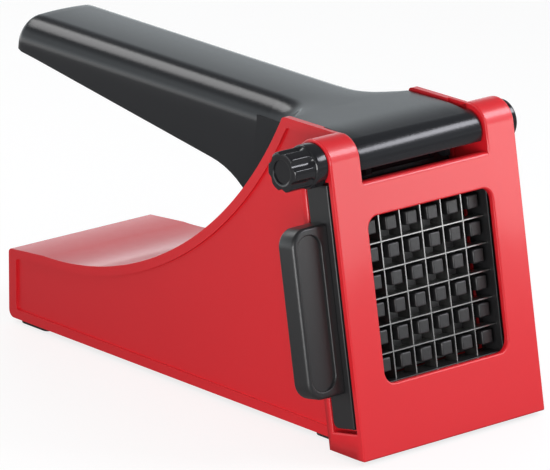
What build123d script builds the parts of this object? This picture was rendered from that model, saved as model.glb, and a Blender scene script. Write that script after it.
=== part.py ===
from build123d import *
import os
from math import acos, atan2, cos, pi, radians, sin, sqrt, tan

# French fry cutter: a housing that holds the potato, a leaning front frame with a blade cartridge,
# and a lever on an axle whose studded pusher drives the potato through the blades.
#
# Millimetres, +Z up, the front faces -Y. The pieces are modelled with X = 0 on the mid-plane, Y = 0 on
# the lower front edge of the frame and Z = 0 on the underside of the housing. At the end they are all
# moved together, so that the origin lies on the table under the middle of the whole machine.
#
# What belongs to the leaning frame is modelled upright, as X, depth behind the face, height up the face,
# and is then leaned back about the lower front edge.

# ---- front frame: all of the machine's widths and heights follow the window that the potato passes ----
frame_lean = 10.48
window_size = 72.6
window_sill = 30.3
window_corner = 5.5
frame_side_border = 17.2
frame_front_wall = 3.2
frame_rear_wall = 3.6
frame_edge_round = 1.2
frame_post_wall = 3.2
frame_floor_wall = 3.0
axle_above_window = 25.76
ear_gap_margin = 0.4
ear_gap_chamfer = 2.4
rear_opening_margin = 1.0
cavity_below_window = 17.3
cavity_above_window = 10.6
end_slot_above_window = 18.1
end_slot_clearance = 0.6

# ---- axle, head and knob ----
axle_radius = 4.0
running_clearance = 0.05
axle_head_radius = 9.3
axle_head_thickness = 4.0
axle_head_round = 1.4
axle_head_socket = 2.4
thread_radius = 3.0
thread_length = 12.0
knob_gap = 0.3
knob_flange_radius = 9.7
knob_flange_length = 6.1
knob_flange_round = 1.2
knob_body_radius = 8.9
knob_body_length = 11.9
knob_end_round = 1.0
knob_grooves = 6
knob_first_groove = 30.0
knob_groove_radius = 2.6
knob_groove_depth = 1.5
knob_groove_length = 12.0
knob_recess_radius = 5.3
knob_recess_depth = 0.9
cap_clearance = 0.1
cap_thickness = 1.2
insert_radius = 5.0
insert_length = 13.0
insert_start = 0.8

# ---- blade cartridge ----
blade_count = 5
blade_thickness = 0.5
blade_depth = 8.0
blade_grid_drop = 0.7
blade_bevel = 1.2
blade_seat = 3.0
blade_slot_clearance = 0.05
halving_clearance = 0.1
grid_margin = 0.6
cartridge_front_clearance = 1.0
cartridge_rear_clearance = 0.95
cartridge_clearance = 0.9
cartridge_face_wall = 3.05
cartridge_side_bar = 4.2
cartridge_bar_border = 1.4
cartridge_bar_core = 10.0
end_plate_thickness = 5.0
end_plate_clearance = 1.0
end_plate_corner = 3.0
retainer_thickness = 2.2
retainer_screw_radius = 1.2
retainer_screw_head_radius = 2.2
retainer_screw_head_height = 1.0
retainer_screw_head_clearance = 0.1
retainer_screw_socket_radius = 0.8
retainer_screw_socket_depth = 0.5
retainer_screw_length = 5.0
retainer_screw_end_room = 0.5
retainer_screw_top_inset = 4.6
retainer_screw_side_inset = 3.3
grip_front_step = 3.2
grip_depth = 10.2
grip_reach = 19.7
grip_below_window = 0.8
grip_above_window = 0.7
grip_corner = 8.0
grip_edge_round = 1.6
grip_recess_border = 2.2
grip_recess_depth = 1.2
grip_recess_start = 4.0
grip_recess_end_border = 3.4
grip_recess_corner = 6.4

# ---- pusher ----
pusher_margin = 0.7
pusher_above_sill = 0.2
pusher_front_clearance = 1.05
pusher_thickness = 4.0
pusher_edge_round = 1.0
stud_width = 6.1
stud_height = 6.3
stud_offset_x = 1.0
stud_offset_up = 1.1
stud_chamfer = 0.6
pusher_screw_from_web = 7.5
pusher_screw_end_inset = 11.6
pusher_screw_radius = 1.5
pusher_screw_head_radius = 2.8
pusher_screw_head_height = 1.8
pusher_screw_grip = 3.0
pusher_screw_socket_radius = 1.0
pusher_screw_socket_depth = 0.9

# ---- lever ----
hub_radius = 9.7
hub_floor_clearance = 2.06
hub_side_clearance = 0.6
hub_end_round = 3.0
lever_wall = 3.0
plate_side_clearance = 1.6
plate_reach = 36.28
plate_round = 1.5
plate_flange = 8.0
flare_pocket = 4.0
beam_half_width = 24.5
beam_shoulder = 12.0
beam_after_plate = 34.5
beam_past_housing = 16.3
beam_end_slant = 2.0
beam_rise = 2.887
beam_end_height = 15.5
beam_end_round = 5.0
skirt_arc_radius = 44.0
skirt_arc_run = 37.5
skirt_arc_clearance = 8.71
skirt_arc_turn = 47.56
web_corner_clearance = 5.53
web_corner_turn = 68.0
handle_rib_first = 150.0
handle_rib_last_inset = 17.0
handle_rib_count = 4
handle_rib_height = 14.0
carrier_side_inset = 3.6
carrier_thickness = 3.0
carrier_end_inset = 2.5
web_front_clearance = 0.5
web_hub_drop = 12.0

# The handle's shoulders spread into the plate through these stations: how far each lies behind the plate,
# what share of the plate's extra width it has on each side, and the radius of its top edge.
flare_stations = [
    (0.0, 1.0, 1.5),
    (2.0, 0.717, 3.2),
    (5.0, 0.415, 5.4),
    (10.0, 0.16, 7.9),
    (18.0, 0.047, 10.0),
]
smallest_shoulder = 0.4

# ---- housing ----
plate_wall_clearance = 0.6285
housing_draft = 0.0309
housing_wall = 3.0
wall_above_plate = 0.787
housing_rear = 255.7
housing_rear_draft = 0.0375
deck_rear_height = 32.4
deck_low_height = 34.55
deck_flat_length = 24.3
deck_arc_radius = 178.2
housing_bottom_corner = 3.5
housing_top_corner = 2.0
panel_depth = 1.2
panel_bottom_rim = 4.4
panel_rear_rim = 5.3
panel_top_rim = 4.3
panel_front_rim = 4.4
panel_corner = 1.5
trough_clearance = 2.1687
tongue_height = 5.5
tongue_behind_axle = 1.78
tongue_clearance = 0.2
rib_thickness = 2.0
rib_first = 92.0
rib_last_inset = 28.7
rib_count = 4
rib_rise = 4.0

# ---- frame lug and its screws ----
lug_side_inset = 12.9
lug_bottom = 3.0
lug_thickness = 4.0
lug_reach = 29.627
lug_clearance = 0.3
lug_screw_inset = 10.0
lug_screw_from_rear = 8.0
screw_radius = 2.0
screw_hole_clearance = 0.2
screw_pilot_clearance = 0.05
screw_end_room = 1.0
screw_length = 12.0
screw_head_radius = 3.8
screw_head_height = 2.2
screw_socket_radius = 1.6
screw_socket_depth = 1.2
boss_radius = 4.6

# ---- feet ----
foot_length = 20.0
foot_width = 12.0
foot_corner = 3.0
foot_height = 2.0
foot_inset = 1.5
foot_rear_inset = 5.7
foot_behind_frame = 13.627
foot_edge_round = 0.6
foot_stem_radius = 2.5
foot_ledge_margin = 1.5
foot_stem_head_radius = 3.5
foot_stem_head_height = 1.5

# ---- values that follow ----
far = 400.0
lean = radians(frame_lean)
frame_width = window_size + 2 * frame_side_border
half_frame = frame_width / 2
half_window = window_size / 2
window_top = window_sill + window_size
window_middle = window_sill + half_window
half_gap = half_window + ear_gap_margin

cartridge_front = frame_front_wall + cartridge_front_clearance
blade_front = cartridge_front + cartridge_face_wall
blade_rear = blade_front + blade_depth
cartridge_rear = blade_rear + retainer_thickness
cavity_rear = cartridge_rear + cartridge_rear_clearance
frame_depth = cavity_rear + frame_rear_wall
cavity_floor = window_sill - cavity_below_window
cavity_roof = window_top + cavity_above_window
end_slot_roof = window_top + end_slot_above_window
end_slot_depth = end_plate_thickness + end_slot_clearance
cartridge_left = -half_frame + end_plate_thickness
cartridge_right = half_window + cartridge_side_bar
cartridge_bottom = cavity_floor + cartridge_clearance
cartridge_top = cavity_roof - cartridge_clearance
end_plate_top = end_slot_roof - end_plate_clearance
grip_front = cartridge_front + grip_front_step
grip_bottom = window_sill - grip_below_window
grip_top = window_top + grip_above_window
retainer_screw_half_x = half_window - retainer_screw_side_inset

cell = (window_size - grid_margin) / (blade_count + 1)
grid_middle = window_middle - blade_grid_drop
blade_places = [(i - (blade_count - 1) / 2) * cell for i in range(blade_count)]
cell_places = [(i - blade_count / 2) * cell for i in range(blade_count + 1)]

axle_height = window_top + axle_above_window
axle_depth = frame_depth / 2
axle_y = axle_height * sin(lean) + axle_depth * cos(lean)
axle_z = axle_height * cos(lean) - axle_depth * sin(lean)
gap_floor = axle_height - hub_radius - hub_floor_clearance

pusher_size = window_size - 2 * pusher_margin
pusher_bottom = window_sill + pusher_above_sill
pusher_middle = pusher_bottom + pusher_size / 2
pusher_front = cartridge_rear + pusher_front_clearance
pusher_rear = pusher_front + pusher_thickness
pusher_screw_half_x = beam_half_width - lever_wall - pusher_screw_from_web
pusher_screw_half_up = pusher_size / 2 - pusher_screw_end_inset
carrier_half_width = pusher_size / 2 - carrier_side_inset
carrier_rear = pusher_rear + carrier_thickness
trough_radius = sqrt((axle_height - pusher_bottom) ** 2 + (pusher_rear - axle_depth) ** 2) + trough_clearance

lever_top = axle_z + hub_radius
plate_half_width = half_gap - plate_side_clearance
plate_rear = axle_y + plate_reach
housing_top = lever_top + wall_above_plate
housing_half_width = plate_half_width + plate_wall_clearance + housing_wall + housing_draft * housing_top
deck_arc_centre_y = housing_rear - deck_flat_length
deck_arc_centre_z = deck_low_height + deck_arc_radius
rib_spacing = (housing_rear - rib_last_inset - rib_first) / (rib_count - 1)
tongue_front = axle_y + tongue_behind_axle

beam_start = plate_rear + beam_after_plate
beam_end_top = housing_rear + beam_past_housing
beam_end_bottom = beam_end_top + beam_end_slant
beam_end_top_z = lever_top + beam_rise
beam_end_bottom_z = beam_end_top_z - beam_end_height
beam_slope = beam_rise / (beam_end_top - plate_rear)
handle_rib_spacing = (beam_end_top - handle_rib_last_inset - handle_rib_first) / (handle_rib_count - 1)
skirt_reach = trough_radius - skirt_arc_clearance
skirt_arc_y = axle_y + skirt_reach * cos(radians(skirt_arc_turn))
skirt_arc_z = axle_z - skirt_reach * sin(radians(skirt_arc_turn))
web_reach = trough_radius - web_corner_clearance
web_corner_y = axle_y + web_reach * cos(radians(web_corner_turn))
web_corner_z = axle_z - web_reach * sin(radians(web_corner_turn))

frame_rear_y = frame_depth / cos(lean)
lug_half_width = housing_half_width - lug_side_inset
lug_top = lug_bottom + lug_thickness
lug_rear = frame_rear_y + lug_reach
lug_screw_x = lug_half_width - lug_screw_inset
foot_front_centre = frame_rear_y + foot_behind_frame


def box(x0, x1, y0, y1, z0, z1):
    """A block between two corners."""
    return Pos((x0 + x1) / 2, (y0 + y1) / 2, (z0 + z1) / 2) * Box(x1 - x0, y1 - y0, z1 - z0)


def leaned(piece):
    """An upright piece of the frame, leaned back about the frame's lower front edge."""
    return Rot(X=-frame_lean) * piece


def on_face(depth, height):
    """Y and Z of a place given by its depth behind the leaning face and its height up it."""
    return (height * sin(lean) + depth * cos(lean), height * cos(lean) - depth * sin(lean))


def face_y(depth, z):
    """Y where the plane at this depth behind the face stands at the height z."""
    return z * tan(lean) + depth / cos(lean)


def side_prism(face, x0, x1):
    """A Y-Z outline extruded across from x0 to x1."""
    return extrude(Plane.YZ.offset(x0) * face, amount=x1 - x0)


def side_polygon(points, x0, x1):
    """A Y-Z polygon extruded across from x0 to x1."""
    return side_prism(make_face(Polyline(*points, close=True)), x0, x1)


def rod(radius, x0, x1, y, z):
    """A cylinder along X."""
    return Pos((x0 + x1) / 2, y, z) * Rot(Y=90) * Cylinder(radius, x1 - x0)


def both_sides(piece):
    """A piece of the +X side together with its mirror image."""
    return piece + mirror(piece, about=Plane.YZ)


def rounded_block(width, length, height, corner):
    """A block on the X-Y plane with rounded upright edges."""
    return extrude(RectangleRounded(width, length, corner), amount=height)


def screw(shank, length, head, head_height, socket, socket_depth):
    """A pan-head screw that points up +Z, with its head under Z = 0 and a round drive socket."""
    body = Pos(0, 0, length / 2) * Cylinder(shank, length)
    top = Pos(0, 0, -head_height / 2) * Cylinder(head, head_height)
    hollow = Pos(0, 0, -head_height + socket_depth / 2) * Cylinder(socket, socket_depth)
    return body + top - hollow


# ---- front frame: one moulding with window, cartridge cavity, two ears and a fixing lug ----
def make_frame():
    tall = Pos(frame_depth / 2, axle_height / 2) * Rectangle(frame_depth, axle_height)
    outline = tall + Pos(axle_depth, axle_height) * Circle(frame_depth / 2)
    frame = side_prism(outline, -half_frame, half_frame)
    outer = frame.edges().filter_by(lambda e: abs(abs(e.center().X) - half_frame) < 0.01)
    frame = fillet(outer.filter_by(lambda e: e.center().Z > 1), frame_edge_round)
    frame -= box(-half_gap, half_gap, -1, frame_depth + 1, gap_floor, far)
    chamfer_cut = [
        (-1, gap_floor - ear_gap_chamfer - 1),
        (-1, gap_floor + 1),
        (ear_gap_chamfer + 1, gap_floor + 1),
    ]
    frame -= side_polygon(chamfer_cut, -half_gap, half_gap)
    ear_inner = frame.edges().filter_by(lambda e: abs(abs(e.center().X) - half_gap) < 0.01)
    frame = fillet(ear_inner.filter_by(lambda e: e.center().Z > axle_height), frame_edge_round)
    window = RectangleRounded(window_size, window_size, window_corner)
    window = extrude(Plane.XZ.offset(1) * Pos(0, window_middle) * window, amount=-(frame_front_wall + 2))
    frame -= window
    rear_low = window_sill - rear_opening_margin
    rear_high = window_top + rear_opening_margin
    frame -= box(-half_window, half_window, frame_front_wall, frame_depth + 1, rear_low, rear_high)
    stop = cartridge_right + cartridge_clearance / 2
    frame -= box(-half_frame - 1, stop, frame_front_wall, cavity_rear, cavity_floor, cavity_roof)
    slot_inner = -half_frame + end_slot_depth
    frame -= box(-half_frame - 1, slot_inner, frame_front_wall, cavity_rear, cavity_floor, end_slot_roof)
    post_inner = stop + frame_post_wall
    post_outer = half_frame - frame_post_wall
    frame -= box(post_inner, post_outer, frame_front_wall, cavity_rear, -1, cavity_roof)
    rail_top = cavity_floor - frame_floor_wall
    frame -= box(-post_outer, stop, frame_front_wall, cavity_rear, -1, rail_top)
    frame -= rod(axle_radius, -far, far, axle_depth, axle_height)
    frame = leaned(frame)
    frame -= box(-far, far, -far, far, -far, 0)
    tongue_bottom = housing_top - tongue_height - tongue_clearance
    tongue_outer = housing_side(tongue_bottom) + tongue_clearance
    rebate = box(half_gap - 1, tongue_outer, tongue_front - tongue_clearance, far, tongue_bottom, far)
    frame -= both_sides(rebate)
    lug_front = face_y(frame_depth, lug_top) - 1
    lug = box(-lug_half_width, lug_half_width, lug_front, lug_rear, lug_bottom, lug_top)
    hole = Pos(lug_screw_x, lug_rear - lug_screw_from_rear, lug_bottom)
    lug -= both_sides(hole * Cylinder(screw_radius + screw_hole_clearance, 4 * lug_thickness))
    return frame + lug


def housing_side(z):
    """Half the housing's outer width at the height z."""
    return housing_half_width - housing_draft * z


def between_sides(inset, z0=-20.0, z1=180.0):
    """All the room between the two drafted side planes, each moved in by the inset."""
    low = housing_side(z0) - inset
    high = housing_side(z1) - inset
    face = make_face(Polyline((-low, z0), (low, z0), (high, z1), (-high, z1), close=True))
    return extrude(Plane.XZ * face, amount=far, both=True)


def housing_outline(front, bottom, rear, top, corners):
    """The housing from the side, each boundary moved in by its own amount, corners rounded by their radii."""
    radius = deck_arc_radius + top
    top_z = housing_top - top
    deck_z = deck_arc_centre_z - radius
    crown_y = deck_arc_centre_y - sqrt(radius**2 - (deck_arc_centre_z - top_z) ** 2)
    crown_turn = atan2(top_z - deck_arc_centre_z, crown_y - deck_arc_centre_y)
    turn = (crown_turn - pi / 2) / 2
    middle = (deck_arc_centre_y + radius * cos(turn), deck_arc_centre_z + radius * sin(turn))
    rear_top_z = deck_rear_height - top
    corner_list = [
        (face_y(frame_depth, bottom) + front, bottom),
        (housing_rear + housing_rear_draft * bottom - rear, bottom),
        (housing_rear + housing_rear_draft * rear_top_z - rear, rear_top_z),
        (deck_arc_centre_y, deck_z),
    ]
    crown = (crown_y, top_z)
    front_top = (face_y(frame_depth, top_z) + front, top_z)
    lines = [Line(corner_list[i], corner_list[i + 1]) for i in range(3)]
    lines.append(ThreePointArc(corner_list[3], middle, crown))
    lines.append(Line(crown, front_top))
    lines.append(Line(front_top, corner_list[0]))
    face = make_face(lines)
    for place, size in zip([corner_list[1], corner_list[2], crown], corners):
        if size:
            near = face.vertices().sort_by_distance((place[0], place[1], 0))[0]
            face = fillet(near, size)
    return face


# ---- housing: one moulding, open underneath, with the potato trough between its walls ----
def make_housing():
    outline = housing_outline(0, 0, 0, 0, [housing_bottom_corner, housing_top_corner, housing_top_corner])
    body = side_prism(outline, -far, far) & between_sides(0)
    trough = rod(trough_radius, -far, far, axle_y, axle_z)
    body -= trough & between_sides(housing_wall)
    wall = housing_wall
    cavity = side_prism(housing_outline(wall, -wall, wall, wall, [0, 0, 0]), -far, far)
    cavity &= between_sides(wall)
    cavity -= rod(trough_radius + wall, -far, far, axle_y, axle_z)
    for i in range(rib_count):
        place = rib_first + i * rib_spacing
        cavity -= box(-far, far, place, place + rib_thickness, rib_rise, far)
    for x, y in foot_places():
        half_x = foot_width / 2 + foot_ledge_margin + foot_inset
        half_y = foot_length / 2 + foot_ledge_margin
        cavity -= box(x - half_x, x + half_x, y - half_y, y + half_y, -1, housing_wall)
    boss = Pos(lug_screw_x, lug_rear - lug_screw_from_rear, lug_top + far / 2) * Cylinder(boss_radius, far)
    cavity -= both_sides(boss)
    body -= cavity
    gap = lug_clearance
    front_rear = face_y(frame_depth, lug_top) + wall + 1
    body -= box(-lug_half_width - gap, lug_half_width + gap, 0, front_rear, lug_bottom - gap, lug_top + gap)
    pilot = Pos(lug_screw_x, lug_rear - lug_screw_from_rear, lug_top)
    pilot_depth = screw_length - lug_thickness + screw_end_room
    body -= both_sides(pilot * Cylinder(screw_radius + screw_pilot_clearance, 2 * pilot_depth))
    for x, y in foot_places():
        body -= Pos(x, y, 0) * Cylinder(foot_stem_radius, 4 * housing_wall)
    rims = (panel_front_rim, panel_bottom_rim, panel_rear_rim, panel_top_rim)
    panel = side_prism(housing_outline(*rims, [panel_corner] * 3), 0, far) - between_sides(panel_depth)
    body -= both_sides(panel)
    tongue_rear = face_y(frame_depth, housing_top) + 1
    tongue = box(half_gap, far, tongue_front, tongue_rear, housing_top - tongue_height, housing_top)
    tongue &= between_sides(0)
    return body + both_sides(tongue)


def foot_places():
    """Centres of the four feet: front left, front right, rear left, rear right."""
    x = housing_half_width - foot_inset - foot_width / 2
    rear = housing_rear - foot_rear_inset - foot_length / 2
    return [(-x, foot_front_centre), (x, foot_front_centre), (-x, rear), (x, rear)]


def make_foot(x, y):
    """A rubber pad with a stem through the housing's ledge and a head that keeps it there."""
    pad = Pos(0, 0, -foot_height) * rounded_block(foot_width, foot_length, foot_height, foot_corner)
    pad = fillet(pad.faces().sort_by(Axis.Z)[0].edges(), foot_edge_round)
    stem = Pos(0, 0, housing_wall / 2) * Cylinder(foot_stem_radius, housing_wall)
    head = Pos(0, 0, housing_wall + foot_stem_head_height / 2)
    head = head * Cylinder(foot_stem_head_radius, foot_stem_head_height)
    return Pos(x, y, 0) * (pad + stem + head)


def make_frame_screws():
    head = (screw_head_radius, screw_head_height)
    one = screw(screw_radius, screw_length, *head, screw_socket_radius, screw_socket_depth)
    y = lug_rear - lug_screw_from_rear
    return [Pos(side * lug_screw_x, y, lug_bottom) * one for side in (-1, 1)]


# ---- axle, its head, and the clamping knob ----
def make_axle_rod():
    right = half_frame + axle_head_socket
    shank = rod(axle_radius, -half_frame, right, axle_y, axle_z)
    return shank + rod(thread_radius, -half_frame - thread_length, -half_frame, axle_y, axle_z)


def make_axle_head():
    head = rod(axle_head_radius, half_frame, half_frame + axle_head_thickness, axle_y, axle_z)
    head = fillet(head.faces().sort_by(Axis.X)[-1].edges(), axle_head_round)
    return head - rod(axle_radius, half_frame, half_frame + axle_head_socket, axle_y, axle_z)


def make_knob():
    start = half_frame + knob_gap
    flange = rod(knob_flange_radius, -start - knob_flange_length, -start, 0, 0)
    flange = fillet(flange.faces().sort_by(Axis.X)[0].edges(), knob_flange_round)
    end = start + knob_flange_length + knob_body_length
    grip = rod(knob_body_radius, -end, -start - 1, 0, 0)
    grip = fillet(grip.faces().sort_by(Axis.X)[0].edges(), knob_end_round)
    centre = knob_body_radius - knob_groove_depth + knob_groove_radius
    groove_inner = -end + knob_groove_length - knob_groove_radius
    for i in range(knob_grooves):
        turn = radians(knob_first_groove + 360 / knob_grooves * i)
        y = centre * cos(turn)
        z = centre * sin(turn)
        grip -= rod(knob_groove_radius, -end - 1, groove_inner, y, z)
        grip -= Pos(groove_inner, y, z) * Sphere(knob_groove_radius)
    knob = flange + grip
    knob -= rod(knob_recess_radius, -end - 1, -end + knob_recess_depth + cap_thickness, 0, 0)
    knob -= rod(insert_radius, -start - insert_start - insert_length, -start + 1, 0, 0)
    return Pos(0, axle_y, axle_z) * knob


def make_knob_insert():
    start = half_frame + knob_gap + insert_start
    sleeve = rod(insert_radius, -start - insert_length, -start, axle_y, axle_z)
    bore = thread_radius + running_clearance
    return sleeve - rod(bore, -start - insert_length - 1, -start + 1, axle_y, axle_z)


def make_knob_cap():
    end = half_frame + knob_gap + knob_flange_length + knob_body_length - knob_recess_depth
    return rod(knob_recess_radius - cap_clearance, -end, -end + cap_thickness, axle_y, axle_z)


# ---- lever: hub, top plate, hollow handle beam, webs, and the wall that carries the pusher ----
def beam_section(y, half, shoulder, inset):
    """A cross-section of the handle at y: flat top, rounded shoulders, upright sides."""
    top = lever_top + beam_slope * (y - plate_rear) - inset
    bottom = lever_top - far / 2
    face = Pos(0, (top + bottom) / 2) * Rectangle(2 * (half - inset), top - bottom)
    face = fillet(face.vertices().group_by(Axis.Y)[-1], max(shoulder - inset, smallest_shoulder))
    return Plane.XZ.offset(-y) * face


def handle_solid(inset, end):
    """The flare and the beam behind the top plate, as two solids with their sides running far down."""
    wider = plate_half_width - beam_half_width
    sections = []
    for behind, share, shoulder in flare_stations:
        sections.append(beam_section(plate_rear + behind, beam_half_width + share * wider, shoulder, inset))
    sections.append(beam_section(beam_start, beam_half_width, beam_shoulder, inset))
    flare = loft(sections)
    run = Vector(0, end - beam_start, beam_slope * (end - beam_start))
    return flare, extrude(sections[-1], amount=run.length, dir=run.normalized())


def make_lever():
    carrier_low = pusher_bottom + carrier_end_inset
    carrier_high = pusher_bottom + pusher_size - carrier_end_inset
    front = pusher_rear + web_front_clearance
    radius = skirt_arc_radius
    arc_y = skirt_arc_y + radius
    end_turn = acos((skirt_arc_run - radius) / radius)
    middle_turn = (pi + end_turn) / 2
    arc_middle = (arc_y + radius * cos(middle_turn), skirt_arc_z + radius * sin(middle_turn))
    arc_end = (arc_y + radius * cos(end_turn), skirt_arc_z + radius * sin(end_turn))
    points = [
        (skirt_arc_y, skirt_arc_z),
        (web_corner_y, web_corner_z),
        on_face(carrier_rear, carrier_low),
        on_face(front, carrier_low),
        on_face(front, axle_height - web_hub_drop),
        (axle_y, axle_z),
        (axle_y, lever_top),
        (plate_rear, lever_top),
        (beam_end_top, beam_end_top_z),
        (beam_end_bottom, beam_end_bottom_z),
        arc_end,
    ]
    lines = [Line(points[i], points[i + 1]) for i in range(len(points) - 1)]
    lines.append(ThreePointArc(arc_end, arc_middle, points[0]))
    silhouette = side_prism(make_face(lines), -plate_half_width, plate_half_width)

    flange_z = lever_top - plate_flange
    half = plate_half_width
    plate = box(-half, half, axle_y, plate_rear, flange_z, lever_top)
    long_top = plate.edges().filter_by(Axis.Y).group_by(Axis.Z)[-1]
    plate = fillet(long_top, plate_round)
    flare, beam = handle_solid(0, beam_end_bottom + 5)
    flare &= box(-half, half, 0, far, flange_z, far)
    low = box(-beam_half_width, beam_half_width, 0, beam_start, 0, flange_z)
    lever = silhouette & (plate + flare + beam + low)
    tip = lever.faces().sort_by(Axis.Y)[-1]
    lever = fillet(tip.edges().filter_by(lambda e: e.center().Z > beam_end_bottom_z + 1), beam_end_round)

    wall = lever_wall
    inner = beam_half_width - wall
    ceiling = lever_top - wall
    rear = beam_end_top - wall
    hollow = [
        on_face(carrier_rear, 0),
        (face_y(carrier_rear, ceiling), ceiling),
        (plate_rear, ceiling),
        (rear, ceiling + beam_slope * (rear - plate_rear)),
        (rear, 0),
    ]
    cavity = side_polygon(hollow, -inner, inner)
    inner_flare, inner_beam = handle_solid(wall, rear)
    for i in range(handle_rib_count):
        place = handle_rib_first + i * handle_rib_spacing
        rib_low = lever_top + beam_slope * (place - plate_rear) - handle_rib_height
        cavity -= box(-inner, inner, place, place + rib_thickness, rib_low, far)
    cavity_beam = cavity & box(-inner, inner, beam_start, far, 0, far) & inner_beam
    cavity_flare = cavity & inner_flare
    cavity_plate = cavity & box(-inner, inner, 0, plate_rear, 0, far)
    side_room = box(beam_half_width, far, 0, far, 0, far)
    under_plate = box(0, half - wall, axle_y + hub_radius, plate_rear, 0, ceiling)
    lever -= cavity_beam + cavity_flare + cavity_plate
    lever -= both_sides(under_plate & side_room)
    lever -= both_sides(inner_flare & side_room & box(0, half, 0, plate_rear + flare_pocket, 0, far))

    hub = rod(hub_radius, -half_gap + hub_side_clearance, half_gap - hub_side_clearance, axle_y, axle_z)
    hub_ends = hub.edges().filter_by(GeomType.CIRCLE)
    hub = fillet(hub_ends, hub_end_round)
    lever += hub
    half = carrier_half_width
    carrier = box(-half, half, pusher_rear, carrier_rear, carrier_low, carrier_high)
    lever += leaned(carrier)
    half = plate_half_width - wall / 2
    hub_wall = box(-half, half, pusher_rear, carrier_rear, carrier_high - wall, axle_height + hub_radius)
    lever += leaned(hub_wall) & box(-far, far, 0, far, 0, lever_top - wall / 2)
    lever -= rod(axle_radius + running_clearance, -far, far, axle_y, axle_z)
    screw_hole = Cylinder(pusher_screw_radius, 3 * carrier_thickness)
    for x, up in pusher_screw_places():
        lever -= leaned(Pos(x, carrier_rear, up) * Rot(X=90) * screw_hole)
    return lever


def pusher_screw_places():
    """Where the four screws of the pusher stand."""
    heights = (pusher_middle - pusher_screw_half_up, pusher_middle + pusher_screw_half_up)
    return [(x, up) for x in (-pusher_screw_half_x, pusher_screw_half_x) for up in heights]


# ---- pusher: a plate with one stud for each cell of the blade grid ----
def make_pusher():
    half = pusher_size / 2
    plate = box(-half, half, pusher_front, pusher_rear, pusher_bottom, pusher_bottom + pusher_size)
    plate = fillet(plate.edges().filter_by(Axis.Y), pusher_edge_round)
    stud = box(-stud_width / 2, stud_width / 2, blade_front, pusher_front, -stud_height / 2, stud_height / 2)
    stud = chamfer(stud.edges().filter_by(lambda e: e.center().Y < pusher_front - 0.1), stud_chamfer)
    middle = grid_middle + stud_offset_up
    studs = [Pos(x + stud_offset_x, 0, middle + up) * stud for x in cell_places for up in cell_places]
    plate += studs
    for x, up in pusher_screw_places():
        hole = Pos(x, pusher_rear, up) * Rot(X=90) * Cylinder(pusher_screw_radius, 2 * pusher_screw_grip)
        plate -= hole
    return leaned(plate)


def make_pusher_screws():
    length = carrier_thickness + pusher_screw_grip
    head = (pusher_screw_head_radius, pusher_screw_head_height)
    one = screw(pusher_screw_radius, length, *head, pusher_screw_socket_radius, pusher_screw_socket_depth)
    return [leaned(Pos(x, carrier_rear, up) * Rot(X=90) * one) for x, up in pusher_screw_places()]


# ---- blades: flat strips, halved into each other, with their cutting edges towards the potato ----
def blade_strip(start, end, slots, from_rear):
    """One blade lying along X, its thickness up Z, slotted at the crossings from one edge."""
    half = blade_thickness / 2
    shoulder = blade_rear - blade_bevel
    edge = [(shoulder, -half), (blade_rear, 0), (shoulder, half)]
    strip = side_polygon([(blade_front, -half), *edge, (blade_front, half)], start, end)
    middle = blade_front + blade_depth / 2
    half_slot = half + halving_clearance
    for place in slots:
        if from_rear:
            strip -= box(place - half_slot, place + half_slot, middle, blade_rear + 1, -1, 1)
        else:
            strip -= box(place - half_slot, place + half_slot, blade_front - 1, middle, -1, 1)
    return strip


def make_level_blade(up):
    half = half_window + blade_seat
    return leaned(Pos(0, 0, grid_middle + up) * blade_strip(-half, half, blade_places, False))


def make_upright_blade(x):
    low = window_sill - blade_seat - grid_middle
    high = window_top + blade_seat - grid_middle
    strip = Rot(Y=-90) * blade_strip(low, high, blade_places, True)
    return leaned(Pos(x, 0, grid_middle) * strip)


# ---- cartridge: the blades' carrier, which slides into the frame from the left ----
def make_cartridge():
    left = cartridge_left
    right = cartridge_right
    body = box(left, right, cartridge_front, blade_rear, cartridge_bottom, cartridge_top)
    plate = box(-half_frame, left, cartridge_front, cartridge_rear, cartridge_bottom, end_plate_top)
    rear_corner = plate.edges().filter_by(Axis.X).group_by(Axis.Y)[-1].sort_by(Axis.Z)[0]
    plate = fillet(rear_corner, end_plate_corner)
    body -= box(-half_window, half_window, 0, frame_depth, window_sill, window_top)
    core_low = cartridge_bottom + cartridge_bar_border
    core_high = core_low + cartridge_bar_core
    body -= box(-half_window, half_window, blade_front, frame_depth, core_low, core_high)
    slack = blade_slot_clearance
    thick = blade_thickness / 2 + slack
    reach = half_window + blade_seat + slack
    for place in blade_places:
        level = grid_middle + place
        body -= box(-reach, reach, blade_front, frame_depth, level - thick, level + thick)
        low = window_sill - blade_seat - slack
        high = window_top + blade_seat + slack
        body -= box(place - thick, place + thick, blade_front, frame_depth, low, high)
    for x, up in retainer_screw_places():
        hole = Pos(x, blade_rear, up) * Rot(X=90)
        depth = retainer_screw_length - retainer_thickness + retainer_screw_end_room
        body -= hole * Cylinder(retainer_screw_radius, 2 * depth)
    grip = Pos(-half_frame - grip_reach / 2 + grip_corner / 2, 0, (grip_bottom + grip_top) / 2)
    outline = RectangleRounded(grip_reach + grip_corner, grip_top - grip_bottom, grip_corner)
    bar = grip * extrude(Plane.XZ.offset(-grip_front) * outline, amount=-grip_depth)
    bar = fillet(bar.edges().filter_by(lambda e: abs(e.center().Y - grip_front) < 0.01), grip_edge_round)
    bar &= box(-far, -half_frame, 0, far, 0, far)
    recess_width = grip_reach - grip_recess_start - grip_recess_border
    recess_height = grip_top - grip_bottom - 2 * grip_recess_end_border
    recess = RectangleRounded(recess_width, recess_height, grip_recess_corner)
    recess = extrude(Plane.XZ.offset(-grip_front + 1) * recess, amount=-(grip_recess_depth + 1))
    recess_x = -half_frame - grip_recess_start - recess_width / 2
    bar -= Pos(recess_x, 0, (grip_bottom + grip_top) / 2) * recess
    return leaned(body + plate + bar)


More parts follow.
